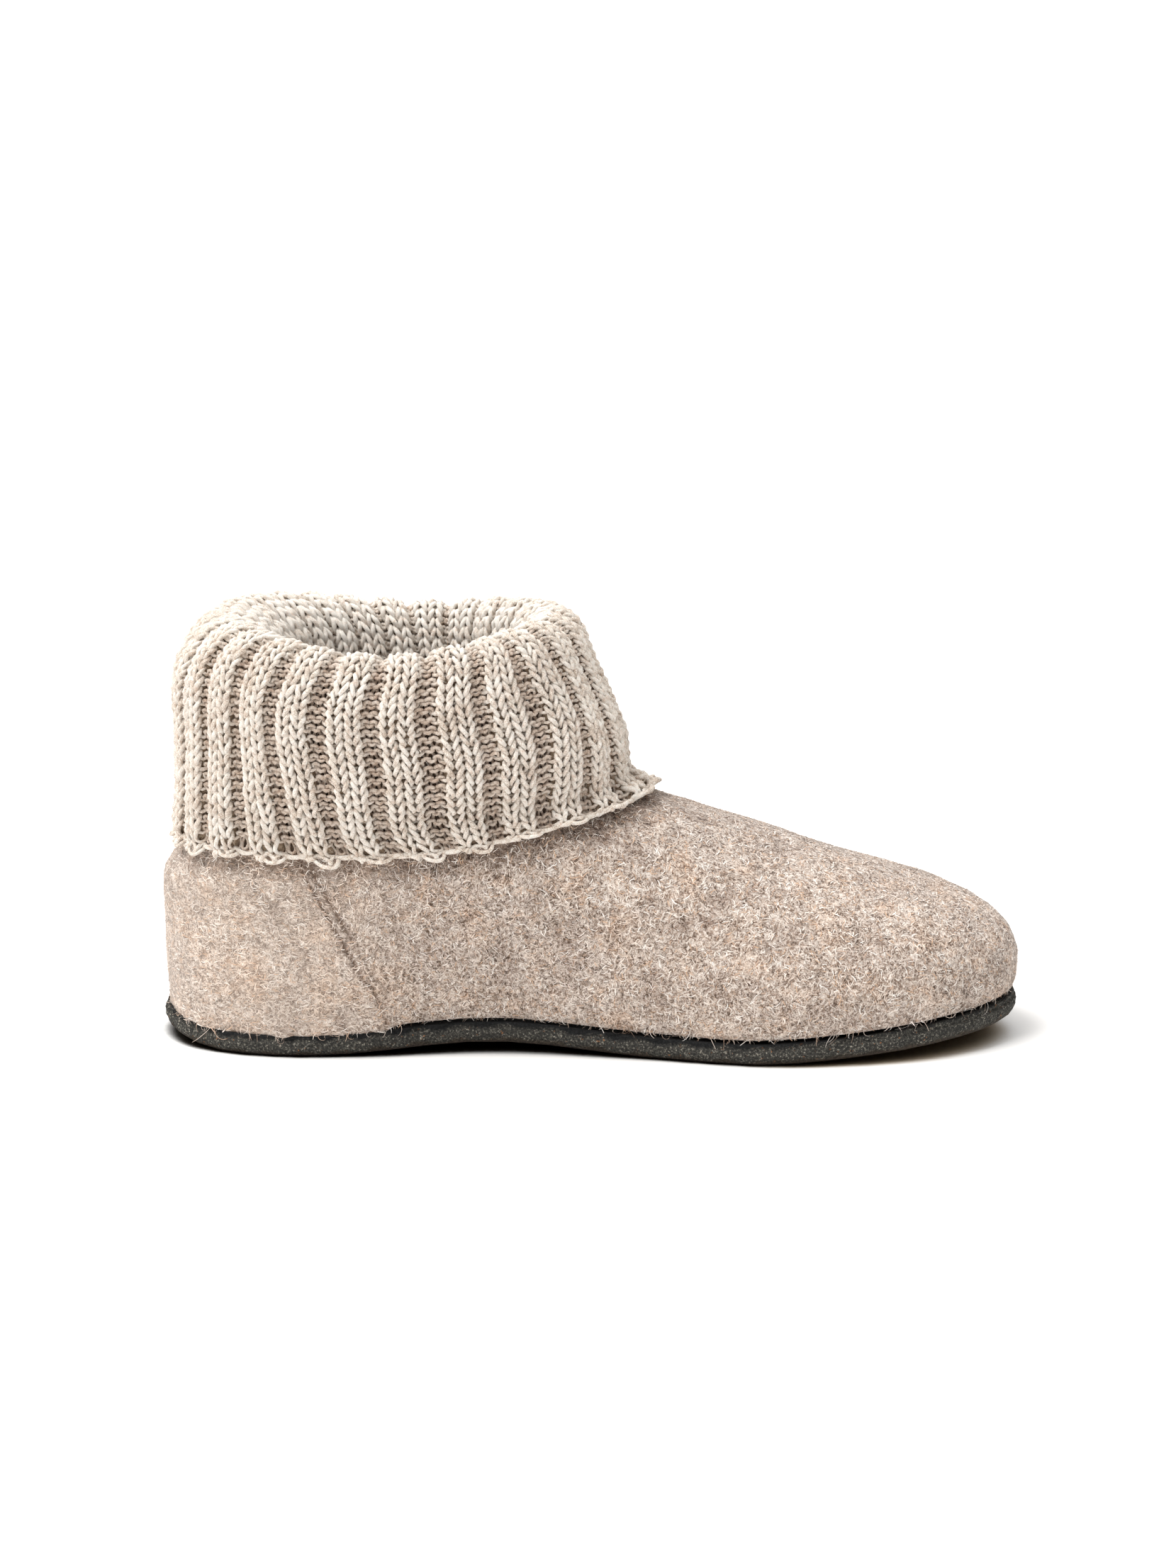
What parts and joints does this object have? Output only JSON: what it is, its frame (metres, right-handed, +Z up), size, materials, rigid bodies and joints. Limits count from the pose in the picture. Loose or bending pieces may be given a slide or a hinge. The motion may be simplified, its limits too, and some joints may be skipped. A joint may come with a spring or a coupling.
{
  "type": "slipper boot",
  "caption": "Ankle-high felt slipper boot with a folded rib-knit cuff, a felt insole and a thin, slightly curved sole.",
  "frame": {"origin": "on the floor under the middle of the shoe's box", "axes": "+X towards the toe, +Y towards the outer side of the foot, +Z up"},
  "size_m": [0.267, 0.0968, 0.134],
  "materials": {
    "sole_rubber": "matt, rough, dark grey felted rubber with pale flecks",
    "insole_felt": "matt pressed wool felt, grey-beige",
    "upper_felt": "matt boiled wool felt, mottled beige and grey-brown, hairy",
    "cuff_knit": "matt wool knit, cream ribs and taupe furrows"
  },
  "bodies": {
    "root": {"outsole": "sole_rubber", "insole": "insole_felt", "felt_upper": "upper_felt", "knit_cuff": "cuff_knit"}
  },
  "joints": []
}
